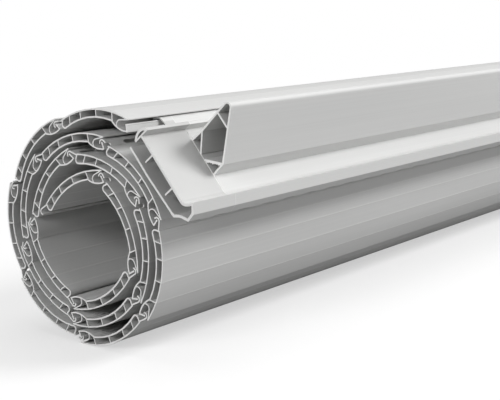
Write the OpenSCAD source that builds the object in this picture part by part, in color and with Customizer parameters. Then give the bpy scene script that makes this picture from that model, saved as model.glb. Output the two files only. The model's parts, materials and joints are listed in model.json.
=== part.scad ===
/* [Curtain] */
// Number of slats hooked together, without the end bar
slat_count = 18; // [8:1:18]
// Cut width of the curtain, along the slats
curtain_w = 1000; // [400:10:2400]
// Height that one slat covers, from hinge axis to hinge axis
cover_h = 52; // [50:0.5:56]

/* [Slat walls] */
// Thickness of the curved outer and inner walls
wall_t = 0.8; // [0.6:0.05:1]
// Thickness of the webs between the chambers
web_t = 0.6; // [0.4:0.05:0.8]
// Height of the outer wall over the line of the hinge axes, at the crown
crown_h = 8.2; // [8:0.1:8.6]
// Height of the outer wall over that line, at its shoulder and at its tip
shoulder_h = 2.55; // [2.5:0.05:2.7]
// Distance from the outer wall to the inner wall at the crown
body_t = 4.0; // [3.8:0.1:4.3]
// Radius that the inner wall is curved to
inner_r = 44; // [42:0.5:47]
// Reach of the closed end past the slat's own hinge axis
shoulder_x = 5; // [4.9:0.05:5.6]
// Rounding of the closed end's inner corner
corner_r = 2.2; // [1.6:0.1:2.4]
// Width of the chamber beside the hook
chamber_1 = 6.2; // [5:0.1:8]
// Width of the second chamber
chamber_2 = 8.4; // [7:0.1:10]
// Distance from the last web to the pocket's rounded end
web_to_pocket = 3.2; // [2.4:0.1:4]

/* [Hook and pocket] */
// Radius of the hook's curl about the hinge axis
hook_r = 1.65; // [1.55:0.05:1.7]
// Thickness of the hook and its arm
hook_t = 0.8; // [0.6:0.05:0.9]
// How far the curl reaches round the lip, from the arm
hook_wrap = 142; // [110:1:150]
// Height of the arm where it leaves the closed end
arm_h = 2.1; // [2:0.05:2.2]
// Radius of the bead on the lip, which is the hinge
bead_r = 0.55; // [0.45:0.05:0.65]
// Thickness of the lip
lip_t = 0.8; // [0.6:0.05:0.9]
// Depth of the pocket's floor under the hinge axis
lip_h = 3.3; // [3.2:0.05:3.5]
// How far the lip leans out at its foot
lip_lean = 0.3; // [0:0.05:0.4]
// How far past the hinge axis the pocket's floor is lowest
floor_shift = 1; // [0.6:0.1:1.4]
// Radius that the pocket's floor is curved to
floor_r = 13.6; // [12:0.1:16]
// Radius of the pocket's rounded end
pocket_r = 2.3; // [2.2:0.05:2.4]
// Depth of the pocket behind the hinge axis
pocket_depth = 6.4; // [5.6:0.1:7]
// Room between the curl and the pocket's roof
curl_gap = 0.4; // [0.35:0.05:0.5]
// Reach of the outer wall's tip past the hinge axis
tip_reach = 1.8; // [1.2:0.1:2.2]

/* [Light slots] */
// Length of a punched slot
slot_l = 11.5; // [8:0.5:14]
// Width of a punched slot
slot_w = 2.4; // [1.6:0.1:2.6]
// Distance from the slots to the closed end
slot_gap = 0.6; // [0.4:0.1:0.7]
// Distance from slot to slot
slot_step = 21; // [18:0.5:40]
// How much further along the next slat's row was cut off
slot_shift = 8.3; // [0:0.1:17]

/* [End bar] */
// Distance from the hinge axis to the foot of the bar
bar_foot = 50; // [48:0.5:60]
// Height of the front wall's outer face over the hinge axis
bar_face = 5.8; // [5.4:0.1:6.2]
// Depth of the bar from face to back
bar_d = 11.4; // [10.6:0.1:11.6]
// Thickness of the front wall, the foot and the nose
bar_front_t = 1.4; // [1.1:0.05:1.6]
// Thickness of the back wall
bar_back_t = 1.2; // [1:0.05:1.4]
// Distance from the hinge axis to the nose
nose_x = 7.05; // [6.9:0.05:7.5]
// Radius of the nose
nose_r = 7.5; // [7:0.1:8.5]
// Width of the nose
nose_w = 3.5; // [3.2:0.1:4]
// How far the middle of the nose's curve lies under the front wall's face
nose_drop = 0.5; // [0.3:0.1:0.8]
// How far the nose reaches under the arm
nose_under = 2.4; // [2.2:0.1:2.6]
// Height of the nose over the front wall's face
nose_h = 4.4; // [3.5:0.1:5]
// Length of the two ribs inside the bar
rib_l = 6.2; // [5:0.1:7]
// Distance from the hinge axis to the bend in the back wall
back_bend_x = 28; // [24:0.5:32]
// Thickness of the two ribs
rib_t = 0.9; // [0.7:0.05:1.1]
// Distance from the hinge axis to the upper rib
rib_1 = 21.9; // [19:0.1:25]
// Distance from the hinge axis to the lower rib
rib_2 = 41.8; // [38:0.1:44]
// Length of the milled tongue at each end, which runs in the guide rail
tongue_l = 32.5; // [25:0.5:45]
// Length that the bar's hook is cut back at each end
hook_cut = 25; // [15:0.5:24]
// Radius of the cutter that cut it back
cutter_r = 6; // [4:0.5:8]
// Depth that the tongue's face is milled down
mill_d = 0.2; // [0.1:0.05:0.3]

/* [Stop] */
// Height of the stop over the front wall's face
stop_h = 32.5; // [20:0.5:36]
// Width of the stop at its base
stop_w = 23; // [21:0.5:25]
// Distance from the hinge axis to the stop
stop_x = 17; // [16:0.5:18]
// Distance from the stop's back to the middle of its rounded top
stop_top_x = 0.9; // [0.6:0.1:1.4]
// How far the two bends in the stop's walls lie inside its foot
stop_back_in = 0.2; // [0.1:0.05:0.4]
stop_front_in = 0.7; // [0.5:0.05:0.9]
// Radius of the stop's rounded top
stop_top_r = 2.2; // [1.5:0.1:3]
// Thickness of the stop's walls
stop_t = 1; // [0.8:0.05:1.2]
// Height of the stop's lower corner over the face
stop_corner_h = 8.6; // [6:0.1:10]
// Height of the rib across the stop over the face
stop_rib_h = 23; // [20:0.1:24]

/* [Roll] */
// Radius of the roll's core at the hinge axes, in cover heights
core_ratio = 0.648; // [0.64:0.002:0.7]
// How much the layers spread for each millimetre of cover height, because a longer slat's ends reach further in
layer_spread = 0.1625; // [0.1625:0.0025:0.18]
// How far the layers sink into each other against that
layer_nest = 12.1; // [10.4:0.05:12.3]
// Direction of the outermost slat in the roll
first_angle = 4; // [-10:1:20]
// How much further the outermost slat lifts off the roll than the bar's depth behind its hinge
lift_gap = 2.75; // [2.7:0.05:4]
// How much nearer the roll's middle the bar's foot lies than its hinge axis
foot_drop = 0.6; // [-3:0.1:0.6]

/* [Hidden] */
$fn = 64;
slat_color = [0.82, 0.82, 0.8];
bar_color = [0.78, 0.78, 0.76];
cut = 1;
// Where two walls join, one is this much thinner on each side and runs this far into the other
join_step = 0.02;
join_lap = 0.2;

function slat_name(i) = str(i < 10 ? "slat_0" : "slat_", i);
function norm2(p) = sqrt(p.x * p.x + p.y * p.y);
function polar(r, a) = [r * cos(a), r * sin(a)];
function turned(p, a) = [p.x * cos(a) - p.y * sin(a), p.x * sin(a) + p.y * cos(a)];
function side_of(a, b) = [a.y - b.y, b.x - a.x] / norm2(b - a);
function at_height(a, b, y) = a + (b - a) * (y - a.y) / (b.y - a.y);

// The outer wall's arc, through the shoulder, the crown and the tip
tip_x = cover_h + tip_reach;
mid_x = (shoulder_x + tip_x) / 2;
half_span = (tip_x - shoulder_x) / 2;
outer_sag = crown_h - shoulder_h;
outer_r = (half_span * half_span + outer_sag * outer_sag) / (2 * outer_sag);
outer_c = [mid_x, crown_h - outer_r];
inner_c = [mid_x, crown_h - body_t - inner_r];
floor_c = [cover_h + floor_shift, floor_r - lip_h];
end_x = shoulder_x - wall_t / 2;

// The pocket, which the next slat's hook slides into
partition_x = cover_h - pocket_depth;
pocket_c = [partition_x + pocket_r, hook_r + hook_t / 2 + curl_gap - pocket_r];
roof_y = pocket_c.y + pocket_r;
lip_foot = [cover_h + lip_lean, -lip_h];
lip_side = lip_foot.x + lip_t / 2;

// The closed end's rounded corner touches the inner wall
corner_x = end_x + corner_r;
corner_rise = sqrt(pow(inner_r - wall_t / 2 + corner_r, 2) - pow(mid_x - corner_x, 2));
corner_c = [corner_x, inner_c.y + corner_rise];
corner_dir = (corner_c - inner_c) / norm2(corner_c - inner_c);

// The webs between the chambers
web_1 = end_x + chamber_1;
web_2 = web_1 + chamber_2;
web_4 = partition_x - web_to_pocket;
web_xs = [web_1, web_2, (web_2 + web_4) / 2, web_4];

// The arm runs from the closed end to the curl, which it touches as a tangent
arm_root = [shoulder_x + 0.2, arm_h];
curl_start = atan2(arm_root.y, arm_root.x) + acos(hook_r / norm2(arm_root));
curl_end = curl_start + hook_wrap;
arm_top = polar(hook_r, curl_start);
arm_dir = (arm_root - arm_top) / norm2(arm_root - arm_top);
slot_x = end_x - slot_gap - slot_w / 2;

// A straight wall between two points
module straight_wall(a, b, t) {
    d = b - a;
    translate(a) rotate(atan2(d.y, d.x)) translate([0, -t / 2]) square([norm2(d), t]);
}

// A wall curved about a centre, from one angle to another
module curved_wall(c, r, t, a0, a1) {
    reach = 2 * (r + t);
    steps = ceil((a1 - a0) / 60);
    translate(c) intersection() {
        difference() {
            circle(r + t / 2);
            circle(r - t / 2);
        }
        polygon(concat([[0, 0]], [for (i = [0:steps]) polar(reach, a0 + (a1 - a0) * i / steps)]));
    }
}

// The slat's outline, drawn in by e from the outside
module slat_outline(e) {
    low = -2 * lip_h;
    high = 2 * crown_h;
    right = tip_x + (e > 0 ? cut : 0);
    touch_x = inner_c.x + (inner_r - wall_t / 2 + e) * corner_dir.x;
    intersection() {
        translate(outer_c) circle(outer_r + wall_t / 2 - e);
        union() {
            difference() {
                translate([0, low]) square([right, high - low]);
                translate(inner_c) circle(inner_r - wall_t / 2 + e);
            }
            translate(floor_c) circle(floor_r + wall_t / 2 - e);
        }
        union() {
            translate([touch_x, low]) square([right - touch_x, high - low]);
            translate([end_x + e, corner_c.y]) square([right - end_x - e, high]);
            translate(corner_c) circle(corner_r - e);
        }
    }
}

// The pocket's inside, grown by e
module pocket(e) {
    translate(pocket_c) circle(pocket_r + e);
    translate([pocket_c.x, roof_y + e - 4 * pocket_r]) square([cover_h, 4 * pocket_r]);
}

// The hook: an arm of a length and a curl round the next slat's lip
module hook_section(arm_l) {
    straight_wall(arm_top - join_lap * arm_dir, arm_top + arm_l * arm_dir, hook_t - 2 * join_step);
    curved_wall([0, 0], hook_r, hook_t, curl_start, curl_end);
    translate(polar(hook_r, curl_end)) circle(hook_t / 2 - join_step);
}

module slat_section() {
    difference() {
        slat_outline(0);
        difference() {
            slat_outline(wall_t);
            pocket(web_t);
            for (x = web_xs) translate([x - web_t / 2, -lip_h]) square([web_t, 2 * crown_h]);
        }
        intersection() {
            slat_outline(wall_t);
            pocket(0);
        }
        translate([lip_side, roof_y - 3 * lip_h]) square([cover_h, 3 * lip_h]);
    }
    straight_wall(lip_foot, [cover_h, 0], lip_t);
    translate([cover_h, 0]) circle(bead_r);
    hook_section(norm2(arm_root - arm_top));
}

// The end bar's walls, as lines through their middles
bar_front_y = bar_face - bar_front_t / 2;
bar_back_y = bar_face - bar_d + bar_back_t / 2;
nose_c = [nose_x + nose_r, bar_face - nose_drop];
nose_side = nose_x + nose_w;
nose_low = arm_h - nose_under;
back_start = [nose_side + rib_t / 2, bar_back_y];
back_bend = [back_bend_x, bar_back_y];
foot_line = [
    [bar_foot, bar_front_y],
    [bar_foot + 1.5, bar_front_y + 0.3],
    [bar_foot + 2.8, bar_front_y + 1.2],
    [bar_foot + 3.9, bar_front_y + 2.8],
    [bar_foot + 5.2, bar_front_y + 5.5],
    [bar_foot + 9, bar_front_y + 2.3],
    [bar_foot + 9.6, bar_front_y - 2.2],
    [bar_foot + 6.2, bar_front_y - 4.5],
    [bar_foot + 4.8, bar_front_y - 5.8],
    [bar_foot + 3, bar_back_y + 1.6],
    [bar_foot + 0.3, bar_back_y + 1.1]];
back_end = (foot_line[9] + foot_line[10]) / 2;

// The stop's walls: a leaning front, a rounded top and a back that bends out again at its foot
stop_left = stop_x + stop_t / 2;
stop_right = stop_left + stop_w - stop_t;
stop_top_c = [stop_left + stop_top_x, bar_face + stop_h - stop_top_r - stop_t / 2];
stop_knee = [stop_right - stop_front_in, bar_face + stop_corner_h];
stop_fall = stop_knee - stop_top_c;
stop_top_a = atan2(stop_fall.y, stop_fall.x) + acos(stop_top_r / norm2(stop_fall));
stop_edge = stop_top_c + polar(stop_top_r, stop_top_a);
stop_bend = [stop_left + stop_back_in, bar_face + stop_corner_h];
stop_rib_y = bar_face + stop_rib_h;

// Step from corner i of a line of points to the side of a wall along it, for half the wall's thickness of 1
function mitre(p, i) =
    i == 0 ? side_of(p[0], p[1]) :
    i == len(p) - 1 ? side_of(p[i - 1], p[i]) :
    let (a = side_of(p[i - 1], p[i]), b = side_of(p[i], p[i + 1])) (a + b) / (1 + a * b);

// A wall along a line of points, bent at each of them
module wall_along(points, t) {
    last = len(points) - 1;
    polygon(concat(
        [for (i = [0:last]) points[i] + mitre(points, i) * t / 2],
        [for (i = [last:-1:0]) points[i] - mitre(points, i) * t / 2]));
}

// The nose, drawn in by e on its curved side and by side on its straight one
module nose(e, side) {
    low = nose_low + 2 * side;
    high = bar_face + nose_h - 2 * side;
    intersection() {
        translate(nose_c) circle(nose_r - e);
        translate([0, low]) square([nose_side - side, high - low]);
    }
}

// What runs from end to end of the bar
module bar_section() {
    difference() {
        nose(0, 0);
        nose(bar_front_t, rib_t);
    }
    wall_along(concat([[nose_side - rib_t / 2, bar_front_y]], foot_line), bar_front_t);
    wall_along([back_start - [rib_t, 0], back_bend, back_end], bar_back_t);
    for (x = [rib_1, rib_2]) {
        translate([x - rib_t / 2, bar_front_y - rib_l]) square([rib_t, rib_l]);
        translate([x, bar_front_y - rib_l]) circle(rib_t / 2 - join_step);
    }
}

// What the cutter takes off at the ends: the hook, its arm and the wall behind them
module bar_hook_section() {
    hook_section(nose_c.x - nose_r + 2);
    straight_wall([nose_side - rib_t, nose_low + rib_t], back_start, rib_t);
}

// The stop, which the milled tongues end at
module stop_section() {
    top = [for (k = [0:12]) stop_top_c + polar(stop_top_r, 180 + (stop_top_a - 180) * k / 12)];
    wall_along(concat([[stop_left, bar_front_y], stop_bend], top, [stop_knee, [stop_right, bar_front_y]]), stop_t);
    straight_wall(at_height(stop_bend, top[0], stop_rib_y), at_height(stop_edge, stop_knee, stop_rib_y), stop_t);
    straight_wall(stop_bend, stop_bend + [stop_corner_h, -stop_corner_h], stop_t);
    straight_wall(stop_knee, stop_knee - [stop_corner_h, stop_corner_h], stop_t);
}

// The layers lie as far apart as the slats are deep, less what they sink into each other
floor_low = lip_h + wall_t / 2;
corner_low = corner_r - corner_c.y;
slat_depth = crown_h + wall_t / 2 + max(floor_low, corner_low);
layer_step = slat_depth + layer_spread * cover_h - layer_nest;
core_r = core_ratio * cover_h;

// Turn about the roll's middle from a hinge axis at radius r to the next one out, found in a few rounds
function chord_angle(r, q) = acos((r * r + q * q - cover_h * cover_h) / (2 * r * q));
function next_angle(r, a, rounds) =
    rounds == 0 ? a : next_angle(r, chord_angle(r, r + layer_step * a / 360), rounds - 1);

// The hinge axes on a spiral, each as its radius and angle, from the core outwards
function next_axis(h) = let (a = next_angle(h[0], 60, 12)) [h[0] + layer_step * a / 360, h[1] + a];
function spiral(v, count) = len(v) == count ? v : spiral(concat(v, [next_axis(v[len(v) - 1])]), count);
axes = spiral([[core_r, 0]], slat_count);

// The outermost slat turns less than the spiral would turn it, which lifts the bar's hinge axis
flush_axis = next_axis(axes[slat_count - 1]);
flush_side = polar(flush_axis[0], -flush_axis[1]) - raw_hinge(1);
bar_lift = bar_d - bar_face + lift_gap;
outermost_angle = atan2(flush_side.y, flush_side.x) + asin(bar_lift / cover_h);

// Hinge 0 joins the bar to slat 1, and hinge i joins slat i to the next one in
function raw_hinge(i) = i == 0
    ? raw_hinge(1) + polar(cover_h, raw_angle(1))
    : polar(axes[slat_count - i][0], -axes[slat_count - i][1]);
function raw_angle(i) = i == 1
    ? outermost_angle
    : let (d = raw_hinge(i - 1) - raw_hinge(i)) atan2(d.y, d.x);
swing = first_angle - raw_angle(1);
function hinge_at(i) = turned(raw_hinge(i), swing);
function slat_angle(i) = raw_angle(i) + swing;

// The bar turns in until its foot rests on the roll
bar_hinge_r = norm2(raw_hinge(0));
inward = atan2(-raw_hinge(0).y, -raw_hinge(0).x);
foot_r = bar_hinge_r - foot_drop;
foot_turn = acos((bar_hinge_r * bar_hinge_r + bar_foot * bar_foot - foot_r * foot_r) / (2 * bar_hinge_r * bar_foot));
bar_angle = inward + foot_turn + swing;
function whole_turn(a) = (a % 360 + 360) % 360;
function roll_turn(i) = whole_turn(i == 0 ? first_angle - bar_angle : slat_angle(i + 1) - slat_angle(i));

// Points round the outside of every slat and the bar, with the radius round each point
outside_r = outer_r + wall_t / 2;
side_a = acos((tip_x - outer_c.x) / outside_r);
arc_points = [for (k = [0:24]) outer_c + polar(outside_r, side_a + (180 - 2 * side_a) * k / 24)];
slat_points = [for (i = [1:slat_count], q = arc_points) hinge_at(i) + turned(q, slat_angle(i))];
bar_points = [for (q = foot_line) hinge_at(0) + turned(q, bar_angle)];
stop_point = hinge_at(0) + turned(stop_top_c, bar_angle);
stop_reach = stop_top_r + stop_t / 2;
foot_reach = bar_front_t / 2;
rights = concat([for (q = slat_points) q.x], [for (q = bar_points) q.x + foot_reach], [stop_point.x + stop_reach]);
lefts = [for (q = slat_points) q.x];
lows = [for (q = slat_points) q.y];
middle = [(max(rights) + min(lefts)) / 2, min(lows)];

// Puts a section's frame into the roll, with the curtain along X and the floor at Z 0
module in_roll(at, a) {
    rotate([90, 0, -90]) translate([at.x - middle.x, at.y - middle.y, 0]) rotate(a) children();
}

// A row of light slots through the arm, without one that would leave a sliver at a cut end
module light_slots(i) {
    start = (i * slot_shift) % slot_step - curtain_w / 2;
    for (k = [0:ceil(curtain_w / slot_step)]) {
        z = start + k * slot_step;
        over = abs(z) + slot_l / 2 - curtain_w / 2;
        if (over < -cut || (over > cut && over < slot_l - cut)) rotate([90, 0, 0])
            translate([slot_x, z, -crown_h]) linear_extrude(crown_h) {
                square([slot_w, slot_l - slot_w], center = true);
                for (side = [-1, 1]) translate([0, side * (slot_l - slot_w) / 2]) circle(slot_w / 2);
            }
    }
}

module slat(i) {
    color(slat_color) in_roll(hinge_at(i), slat_angle(i)) difference() {
        linear_extrude(curtain_w, center = true) slat_section();
        light_slots(i);
    }
}

// The bar's hook, cut back from both ends with a round cutter
module bar_hook() {
    difference() {
        linear_extrude(curtain_w - 2 * hook_cut + 2 * cutter_r, center = true) bar_hook_section();
        for (side = [-1, 1]) {
            translate([nose_x / 2, 0, side * (curtain_w / 2 - hook_cut + cutter_r)]) rotate([90, 0, 0])
                cylinder(r = cutter_r, h = 2 * bar_d, center = true);
        }
    }
}

module end_bar() {
    color(bar_color) in_roll(hinge_at(0), bar_angle) {
        difference() {
            linear_extrude(curtain_w, center = true) bar_section();
            for (side = [-1, 1]) translate([
                nose_side, bar_face - mill_d,
                side * (curtain_w - tongue_l + cut) / 2 - (tongue_l + cut) / 2])
                cube([bar_foot - nose_side, cut, tongue_l + cut]);
        }
        bar_hook();
        linear_extrude(curtain_w - 2 * tongue_l, center = true) stop_section();
    }
}

for (i = [1:slat_count]) slat(i);
end_bar();
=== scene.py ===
import json
import math
import bmesh
import bpy
from mathutils import Matrix, Vector


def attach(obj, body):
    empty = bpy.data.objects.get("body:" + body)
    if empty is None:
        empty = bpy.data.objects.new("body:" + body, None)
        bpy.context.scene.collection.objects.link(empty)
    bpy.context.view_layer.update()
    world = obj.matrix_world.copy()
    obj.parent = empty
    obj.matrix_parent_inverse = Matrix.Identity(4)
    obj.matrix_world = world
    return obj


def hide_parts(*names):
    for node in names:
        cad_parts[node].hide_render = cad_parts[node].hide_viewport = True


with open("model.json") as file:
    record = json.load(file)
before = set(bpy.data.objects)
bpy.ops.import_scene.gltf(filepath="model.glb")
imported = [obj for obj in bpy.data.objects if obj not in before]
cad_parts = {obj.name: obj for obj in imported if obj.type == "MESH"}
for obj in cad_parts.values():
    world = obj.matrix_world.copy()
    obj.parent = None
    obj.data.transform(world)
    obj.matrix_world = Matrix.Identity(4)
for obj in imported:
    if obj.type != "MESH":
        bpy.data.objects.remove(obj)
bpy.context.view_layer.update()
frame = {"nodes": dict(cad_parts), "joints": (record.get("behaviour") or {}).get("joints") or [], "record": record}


# The slats of the curtain: hollow profiles of light grey hard PVC, each drawn in one
# piece through a die and sawn off square. Every slat hooks into the pocket of the next
# one, where it turns, and a row of slots for light and air is punched along its hook.
SLAT_GREY = (0.66, 0.66, 0.653)
SLAT_GREY_LOW = (0.6, 0.601, 0.595)
SLAT_TONES = (1.0, 0.975, 1.012, 0.99, 0.968)
SLAT_GLOSS = 0.47

# The die's lines run along the slat, and the drift of tone and the mottle lie under them.
# A grain is in waves per metre along, across and up, and a range is where its noise rises.
DIE_GRAIN, DIE_RANGE = (1.2, 1500.0, 1500.0), (0.35, 0.65)
DIE_TONE, DIE_SHARE, DIE_GLOSS, DIE_DEPTH = 1.08, 0.25, 0.1, 0.000012
DRIFT_GRAIN, DRIFT_RANGE, DRIFT_GLOSS = (2.5, 26.0, 26.0), (0.3, 0.7), 0.12
MOTTLE_GRAIN, MOTTLE_DEPTH = (900.0, 900.0, 900.0), 0.000006
NOISE_MIDDLE = 0.5
PVC_IOR = 1.5

# The saw leaves a chalky white end with fine marks, on every face that looks along X
SAWN_WHITE = (0.92, 0.92, 0.91)
SAWN_FACING = (0.75, 0.95)
SAWN_ROUGH = 0.72
SAW_GRAIN, SAW_RANGE = (400.0, 700.0, 5200.0), (0.35, 0.6)
SAW_TONE, SAW_DEPTH = 0.93, 0.00005

# Each web draws the wall in front of it in a little: a fine line in a wide shallow flat
WEBS_FROM_HOOK = (0.0108, 0.0192, 0.0308, 0.0424)
SINK_LINE, SINK_LINE_DEPTH = 0.0007, 0.00009
SINK_FLAT, SINK_FLAT_DEPTH = 0.004, 0.0001
# The fine line's lighter tone is a painted highlight, not a colour of the PVC
SINK_HIGHLIGHT_TONE, SINK_HIGHLIGHT_SHARE = 1.08, 1.0

# Bends sharper than this stay crisp, and corners closer together than this are joined
WALL_CORNER = math.radians(28)
MERGE_M = 1e-6


class Value:
    """A node's output, which numbers and other outputs combine with."""

    def __init__(self, nodes, socket):
        self.nodes = nodes
        self.socket = socket

    def math(self, operation, first, second=0.0, clamp=False):
        settings = {"operation": operation, "use_clamp": clamp}
        return self.nodes.node("ShaderNodeMath", settings, {0: first, 1: second})

    def __add__(self, other):
        return self.math("ADD", self, other)

    def __sub__(self, other):
        return self.math("SUBTRACT", self, other)

    def __rsub__(self, other):
        return self.math("SUBTRACT", other, self)

    def __mul__(self, other):
        return self.math("MULTIPLY", self, other)

    def __abs__(self):
        return self.math("ABSOLUTE", self)

    __radd__ = __add__
    __rmul__ = __mul__

    def between(self, low, high):
        """0 below low, 1 above high, and a straight rise between them."""
        return self.math("MULTIPLY", self - low, 1 / (high - low), clamp=True)

    def near(self, places, reach):
        """1 at each of the places, and 0 from the reach onwards."""
        lines = [1.0 - abs(self - place).between(0.0, reach) for place in places]
        nearest = lines[0]
        for line in lines[1:]:
            nearest = self.math("MAXIMUM", nearest, line)
        return nearest


class Nodes:
    """The nodes of one material, or of the room."""

    def __init__(self, tree):
        self.tree = tree

    def node(self, kind, settings, inputs, output=0):
        made = self.tree.nodes.new(kind)
        for name, setting in settings.items():
            setattr(made, name, setting)
        for name, value in inputs.items():
            self.feed(made.inputs[name], value)
        return Value(self, made.outputs[output])

    def feed(self, socket, value):
        if isinstance(value, Value):
            self.tree.links.new(value.socket, socket)
        elif isinstance(value, tuple) and len(value) == 3 and socket.type == "RGBA":
            socket.default_value = (*value, 1.0)
        else:
            socket.default_value = value


class Finish(Nodes):
    """A piece's material, built up from its base colour to its small marks."""

    def __init__(self, name):
        self.material = bpy.data.materials.new(name)
        self.material.use_nodes = True
        super().__init__(self.material.node_tree)
        self.shader = self.tree.nodes["Principled BSDF"]
        place = self.tree.nodes.new("ShaderNodeTexCoord")
        self.place = Value(self, place.outputs["Object"])
        self.facing = Value(self, place.outputs["Normal"])

    def blend(self, share, low, high):
        """From one colour to another."""
        return self.node("ShaderNodeMix", {"data_type": "RGBA"}, {0: share, 6: low, 7: high}, 2)

    def distance(self, start, direction):
        """How far along a direction a point of the surface lies from the start."""
        reached = self.node("ShaderNodeVectorMath", {"operation": "DOT_PRODUCT"}, {
            0: self.place, 1: tuple(direction)}, "Value")
        return reached - start.dot(direction)

    def grain(self, scale, detail=2.0, roughness=0.5):
        """Noise with its own number of waves per metre along, across and up."""
        spread = self.node("ShaderNodeVectorMath", {"operation": "MULTIPLY"}, {
            0: self.place, 1: scale})
        return self.node("ShaderNodeTexNoise", {}, {
            "Vector": spread, "Scale": 1.0, "Detail": detail, "Roughness": roughness})

    def finished(self, colour, roughness, reliefs):
        """The closed material. A relief is a depth in metres and the pattern it follows."""
        relief = None
        for depth, pattern in reliefs:
            inputs = {"Strength": 1.0, "Distance": depth, "Height": pattern}
            if relief:
                inputs["Normal"] = relief
            relief = self.node("ShaderNodeBump", {}, inputs)
        self.feed(self.shader.inputs["Base Color"], colour)
        self.feed(self.shader.inputs["Roughness"], roughness)
        self.feed(self.shader.inputs["Normal"], relief)
        self.shader.inputs["IOR"].default_value = PVC_IOR
        return self.material


def toned(colour, tone):
    """A colour made darker or lighter."""
    return tuple(channel * tone for channel in colour)


def hard_pvc(name, grey, grey_low, gloss, marks):
    """Drawn PVC with sawn ends and further marks, which come as two lists: tints of a
    tone, its share and a pattern each, some of them painted highlight or painted shade, and reliefs of a depth and
    a pattern each."""
    f = Finish(name)
    along = f.node("ShaderNodeSeparateXYZ", {}, {0: f.facing}, 0)
    sawn = abs(along).between(*SAWN_FACING)
    die_lines = f.grain(DIE_GRAIN, detail=3.0, roughness=0.6)
    drift = f.grain(DRIFT_GRAIN)
    mottle = f.grain(MOTTLE_GRAIN)
    saw_marks = f.grain(SAW_GRAIN, detail=3.0, roughness=0.7)
    tints, reliefs = marks(f)

    drawn = f.blend(drift.between(*DRIFT_RANGE), grey_low, grey)
    drawn = f.blend(die_lines.between(*DIE_RANGE) * DIE_SHARE, drawn, toned(grey, DIE_TONE))
    for tone, share, pattern in tints:
        drawn = f.blend(pattern * share, drawn, toned(grey, tone))
    cut = f.blend(saw_marks.between(*SAW_RANGE), toned(SAWN_WHITE, SAW_TONE), SAWN_WHITE)
    colour = f.blend(sawn, drawn, cut)

    smooth = (drift - NOISE_MIDDLE) * DRIFT_GLOSS + (die_lines - NOISE_MIDDLE) * DIE_GLOSS + gloss
    roughness = smooth * (1.0 - sawn) + sawn * SAWN_ROUGH
    return f.finished(colour, roughness, [
        (DIE_DEPTH, die_lines * (1.0 - sawn)),
        (MOTTLE_DEPTH, mottle),
        (SAW_DEPTH, saw_marks * sawn),
        *reliefs])


def sink_lines_and_highlights(hook, pocket):
    """A slat's sink marks along its walls from its hook to its pocket, with a painted highlight on each fine line.
    """
    def marks(f):
        along = f.distance(hook, (pocket - hook).normalized())
        lines = along.near(WEBS_FROM_HOOK, SINK_LINE)
        flats = along.near(WEBS_FROM_HOOK, SINK_FLAT)
        # Painted highlight: the fine lines are painted lighter than the wall
        tints = [(SINK_HIGHLIGHT_TONE, SINK_HIGHLIGHT_SHARE, lines)]
        return tints, [(SINK_LINE_DEPTH, lines), (SINK_FLAT_DEPTH, flats)]
    return marks


def drawn_copy(node, name):
    """A copy of a CAD node's mesh with its triangles joined and its walls shaded round."""
    mesh = frame["nodes"][node].data.copy()
    mesh.name = name
    bm = bmesh.new()
    bm.from_mesh(mesh)
    bmesh.ops.remove_doubles(bm, verts=bm.verts, dist=MERGE_M)
    bm.to_mesh(mesh)
    bm.free()
    if "custom_normal" in mesh.attributes:
        mesh.attributes.remove(mesh.attributes["custom_normal"])
    mesh.materials.clear()
    mesh.shade_smooth()
    mesh.set_sharp_from_angle(angle=WALL_CORNER)
    piece = bpy.data.objects.new(name, mesh)
    bpy.context.scene.collection.objects.link(piece)
    return piece


# The axes that the slats lie between, from the end bar's hinge inwards to the free hook
hinges = {joint["name"]: Vector(joint["pos_m"]) for joint in frame["joints"]}
mounts = {mount["name"]: mount for mount in frame["record"]["mounts"]}
slat_nodes = sorted(name for name in frame["nodes"] if name.startswith("slat_"))
axes = [hinges["bar_hinge"]]
axes += [hinges[node + "_hinge"] for node in slat_nodes[1:]]
axes += [Vector(mounts["top_hook"]["pos_m"])]
for i, node in enumerate(slat_nodes):
    tone = SLAT_TONES[i % len(SLAT_TONES)]
    slat = drawn_copy(node, node.replace("slat_", "drawn_slat_"))
    slat.data.materials.append(hard_pvc(
        node + "_pvc", toned(SLAT_GREY, tone), toned(SLAT_GREY_LOW, tone),
        SLAT_GLOSS, sink_lines_and_highlights(hook=axes[i + 1], pocket=axes[i])))
    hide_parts(node)
    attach(slat, node)


# The end bar: the curtain's heavy bottom bar, drawn in one piece from the same grey PVC
# with its nose, its stop and its foot. Its hook and its stop are milled back at both
# ends, which leaves a flat tongue at each end to run in the guide rail.
BAR_GREY = (0.7, 0.7, 0.692)
BAR_GREY_LOW = (0.65, 0.651, 0.645)
BAR_GLOSS = 0.5

# The cutter takes a skin off the face, from the nose to the foot, and the face there is painted darker: painted
# shade from the stop
MILLED_AT, MILLED_EDGE = 0.4675, 0.0008
FACE_STARTS, FACE_ENDS = (0.0015, 0.0025), (0.0505, 0.0535)
MILLED_SHADE_TONE, MILLED_SHADE_SHARE, MILLED_DEPTH = 0.73, 0.85, 0.000006

# Its teeth leave faint arcs there, and its side a fine light line right across the bar
ARC_STEP, ARC_WANDER, ARC_DETAIL = 0.0026, 1.5, 1.0
ARC_TONE, ARC_SHARE, ARC_DEPTH = 1.05, 0.2, 0.000006
LINE_HALF, LINE_TONE, LINE_SHARE, LINE_DEPTH = 0.0003, 1.2, 0.9, 0.00004

# The bar's own directions: along it, out of its face, and across it from its hinge
along_bar = Vector((1.0, 0.0, 0.0))
face_out = Vector(mounts["bar_face"]["axis"])
down_bar = along_bar.cross(face_out)


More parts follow.
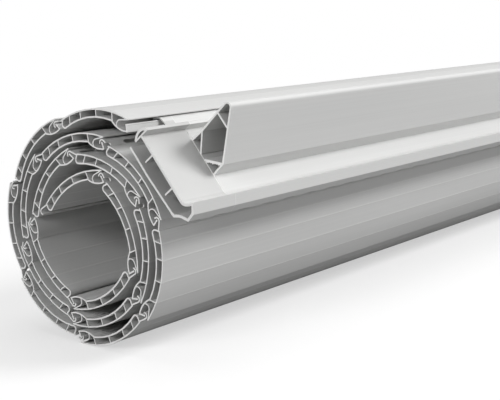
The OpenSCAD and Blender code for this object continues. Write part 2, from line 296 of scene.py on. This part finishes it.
def mill_marks(f):
    """The cutter's marks at both ends of the bar, and a painted shade on its milled face."""
    out = abs(f.distance(Vector(), along_bar))
    arcs = f.node("ShaderNodeTexWave", {"wave_type": "BANDS", "bands_direction": "X"}, {
        "Vector": f.place, "Scale": 1 / ARC_STEP, "Distortion": ARC_WANDER, "Detail": ARC_DETAIL})
    across = f.distance(hinges["bar_hinge"], down_bar)
    face = across.between(*FACE_STARTS) * (1.0 - across.between(*FACE_ENDS))
    milled = face * out.between(MILLED_AT, MILLED_AT + MILLED_EDGE)
    line = out.near((MILLED_AT,), LINE_HALF)
    # The milled face's darker tone is painted shade from the stop, not a colour of the cut PVC
    tints = [(MILLED_SHADE_TONE, MILLED_SHADE_SHARE, milled),
             (ARC_TONE, ARC_SHARE, arcs * milled),
             (LINE_TONE, LINE_SHARE, line)]
    return tints, [(MILLED_DEPTH, milled), (ARC_DEPTH, arcs * milled), (LINE_DEPTH, line)]


bar_finish = hard_pvc("bar_pvc", BAR_GREY, BAR_GREY_LOW, BAR_GLOSS, mill_marks)
bar = drawn_copy("end_bar", "drawn_end_bar")
bar.data.materials.append(bar_finish)
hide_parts("end_bar")
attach(bar, "end_bar")


# The burrs: ragged shreds of plastic that the cutter leaves hanging from the stop's lower
# brace at both cut ends, where nobody trims them, because the guide rail hides them.
BURR_FROM, BURR_TO = 0.0012, 0.0112
BURR_ROOT = 0.0003
BURR_T = 0.0003
BURR_SHREDS = 18
SHRED_L = 0.0013
SHRED_SHARES = (0.3, 0.75, 0.45, 1.0, 0.25, 0.6, 0.5)

# Across and out of the bar from its hinge: the brace's start at the stop's lower bend,
# the way that the brace runs from there, and the way that the shreds hang off it
BEND = Vector((0.0388, 0.0144))
ALONG_BRACE = Vector((-1.0, -1.0)).normalized()
OFF_BRACE = Vector((1.0, -1.0)).normalized()
HALF_GRID = 0.5

for side, name in ((-1, "burr_left"), (1, "burr_right")):
    bm = bmesh.new()
    bmesh.ops.create_grid(bm, x_segments=BURR_SHREDS, y_segments=1, size=HALF_GRID)
    for vert in bm.verts:
        run = vert.co.x + HALF_GRID
        share = SHRED_SHARES[round(run * BURR_SHREDS) % len(SHRED_SHARES)]
        hang = share * SHRED_L if vert.co.y > 0 else 0.0
        down_brace = BURR_FROM + (BURR_TO - BURR_FROM) * run
        spot = BEND + ALONG_BRACE * down_brace + OFF_BRACE * (BURR_ROOT + hang)
        vert.co = hinges["bar_hinge"] + down_bar * spot.x + face_out * spot.y
        vert.co.x = side * MILLED_AT
    bm.normal_update()
    bmesh.ops.solidify(bm, geom=bm.verts[:] + bm.edges[:] + bm.faces[:], thickness=BURR_T)
    bmesh.ops.recalc_face_normals(bm, faces=bm.faces)
    mesh = bpy.data.meshes.new(name)
    bm.to_mesh(mesh)
    bm.free()
    mesh.materials.append(bar_finish)
    burr = bpy.data.objects.new(name, mesh)
    bpy.context.scene.collection.objects.link(burr)
    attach(burr, "end_bar")


# The floor: a plain matt sheet that runs far past the picture. The camera sees it as
# white that takes the roll's soft shadow, and it throws little light back on the roll.
FLOOR_REACH = 14.0
FLOOR_SEEN = (0.95, 0.95, 0.95)
FLOOR_LIT = (0.3, 0.3, 0.3)
PLAIN_WHITE = (1.0, 1.0, 1.0)

# The share of plain white grows with the square of the distance from the roll's line
ROLL_HALF = 0.5
WHITE_FROM, WHITE_AT = 0.02, 0.3
WHITE_LEAST = 0.55

bm = bmesh.new()
bmesh.ops.create_grid(bm, x_segments=1, y_segments=1, size=FLOOR_REACH)
floor_mesh = bpy.data.meshes.new("floor")
bm.to_mesh(floor_mesh)
bm.free()
floor = bpy.data.objects.new("floor", floor_mesh)
bpy.context.scene.collection.objects.link(floor)

sheet = Finish("floor_white")
seen = sheet.node("ShaderNodeLightPath", {}, {}, "Is Camera Ray")
along = sheet.node("ShaderNodeSeparateXYZ", {}, {0: sheet.place}, 0)
aside = sheet.node("ShaderNodeSeparateXYZ", {}, {0: sheet.place}, 1)
past_end = along.math("MAXIMUM", abs(along) - ROLL_HALF)
away = (past_end * past_end + aside * aside).between(WHITE_FROM, WHITE_AT)
white_share = seen * (away * (1.0 - WHITE_LEAST) + WHITE_LEAST)
sheet.feed(sheet.shader.inputs["Base Color"], sheet.blend(seen, FLOOR_LIT, FLOOR_SEEN))
sheet.shader.inputs["Roughness"].default_value = 1.0
sheet.shader.inputs["Specular IOR Level"].default_value = 0.0
matt = Value(sheet, sheet.shader.outputs[0])
white = sheet.node("ShaderNodeEmission", {}, {"Color": PLAIN_WHITE, "Strength": 1.0})
surface = sheet.node("ShaderNodeMixShader", {}, {0: white_share, 1: matt, 2: white})
sheet.feed(sheet.tree.nodes["Material Output"].inputs["Surface"], surface)
floor_mesh.materials.append(sheet.material)


# The light: four round soft lamps in a pale room. The two strongest stand high in front
# on the right, and past the left end, from where the lamp reaches into the cut chambers.
ROOM_LIGHT = 0.24
ROLL_MIDDLE = (0.0, 0.0, 0.06)
ROLL_FRONT = (0.1, 0.0, 0.06)
ROLL_END = (-0.5, 0.0, 0.06)


def soft_lamp(name, at, towards, size, power):
    """A round lamp with its width in metres and its power in watts."""
    lamp = bpy.data.lights.new(name, "AREA")
    lamp.shape = "DISK"
    lamp.size = size
    lamp.energy = power
    made = bpy.data.objects.new(name, lamp)
    made.location = at
    made.rotation_mode = "QUATERNION"
    made.rotation_quaternion = (Vector(towards) - Vector(at)).to_track_quat("-Z", "Y")
    bpy.context.scene.collection.objects.link(made)


soft_lamp("lamp_overhead", at=(0.0, 0.4, 3.0), towards=ROLL_MIDDLE, size=2.4, power=26.0)
soft_lamp("lamp_front", at=(1.6, -2.3, 2.5), towards=ROLL_FRONT, size=1.6, power=108.0)
soft_lamp("lamp_low", at=(0.9, -3.4, 0.7), towards=ROLL_FRONT, size=1.6, power=16.0)
soft_lamp("lamp_end", at=(-3.4, -0.2, 1.5), towards=ROLL_END, size=1.2, power=50.0)

world = bpy.data.worlds.new("pale_room")
bpy.context.scene.world = world
world.use_nodes = True
room = Nodes(world.node_tree)
sky = room.tree.nodes["Background"]
seen = room.node("ShaderNodeLightPath", {}, {}, "Is Camera Ray")
room.feed(sky.inputs["Strength"], seen * (1.0 - ROOM_LIGHT) + ROOM_LIGHT)
room.feed(sky.inputs["Color"], PLAIN_WHITE)


# The camera: low over the roll's left end, looking along it and down a little, through a
# lens of the photograph's angle on a sensor as wide as full-frame film, in millimetres.
EYE = Vector((-0.894, -0.414, 0.1887))
GAZE = Vector((0.77233, 0.60691, -0.18752)).normalized()
SENSOR_W, LENS_F = 36.0, 79.2
CLIP_NEAR, CLIP_FAR = 0.05, 60.0

across = GAZE.cross(Vector((0, 0, 1))).normalized()
upward = across.cross(GAZE)
turned = Matrix((across, upward, -GAZE)).transposed().to_4x4()
lens = bpy.data.cameras.new("camera")
lens.sensor_width = SENSOR_W
lens.lens = LENS_F
lens.clip_start = CLIP_NEAR
lens.clip_end = CLIP_FAR
camera = bpy.data.objects.new("camera", lens)
camera.matrix_world = Matrix.Translation(EYE) @ turned
bpy.context.scene.collection.objects.link(camera)
bpy.context.scene.camera = camera
bpy.context.scene.view_settings.view_transform = "Standard"
